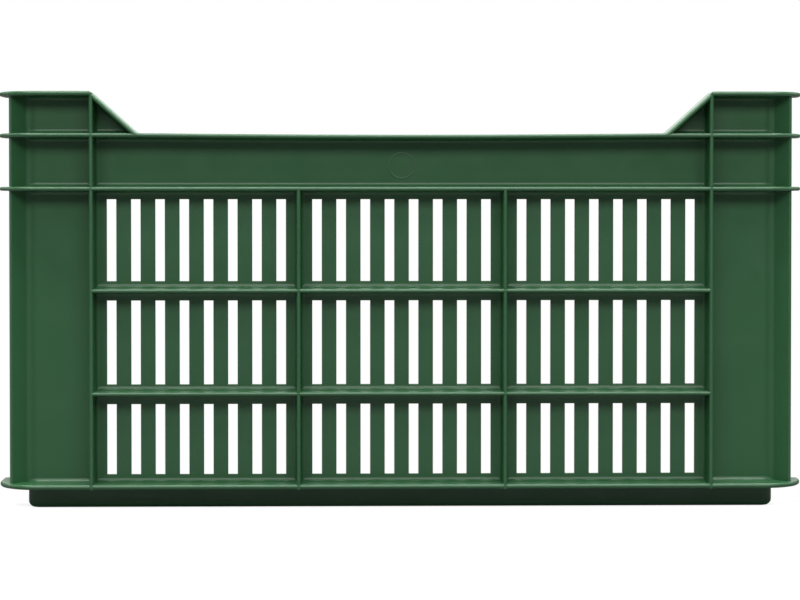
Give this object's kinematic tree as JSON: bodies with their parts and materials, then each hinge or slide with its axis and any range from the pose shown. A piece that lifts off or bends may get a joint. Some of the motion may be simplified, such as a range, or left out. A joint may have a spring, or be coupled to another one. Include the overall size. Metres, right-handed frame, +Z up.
{
  "type": "stacking storage crate",
  "caption": "Rigid rectangular stacking crate with slotted side walls, outside ribs, raised corners and lowered middle edges.",
  "frame": {"origin": "centre of the footprint, on the ground under the foot", "axes": "+X along the long side, to the right seen from the front; +Y from the front to the rear; +Z up"},
  "size_m": [0.6, 0.4, 0.31],
  "materials": {
    "crate_plastic": "satin dark green moulded polyethylene"
  },
  "bodies": {
    "root": {"corner_post_front_left": "crate_plastic", "corner_post_front_right": "crate_plastic", "corner_post_rear_left": "crate_plastic", "corner_post_rear_right": "crate_plastic", "floor_panel": "crate_plastic", "foot_rail_front": "crate_plastic", "foot_rail_left": "crate_plastic", "foot_rail_rear": "crate_plastic", "foot_rail_right": "crate_plastic", "front_panel": "crate_plastic", "front_rib_frame": "crate_plastic", "front_rim_beam": "crate_plastic", "left_grip_beam": "crate_plastic", "left_panel": "crate_plastic", "left_rib_frame": "crate_plastic", "lug_wing_front_left": "crate_plastic", "lug_wing_front_right": "crate_plastic", "lug_wing_left_front": "crate_plastic", "lug_wing_left_rear": "crate_plastic", "lug_wing_rear_left": "crate_plastic", "lug_wing_rear_right": "crate_plastic", "lug_wing_right_front": "crate_plastic", "lug_wing_right_rear": "crate_plastic", "rear_panel": "crate_plastic", "rear_rib_frame": "crate_plastic", "rear_rim_beam": "crate_plastic", "right_grip_beam": "crate_plastic", "right_panel": "crate_plastic", "right_rib_frame": "crate_plastic"}
  },
  "joints": []
}
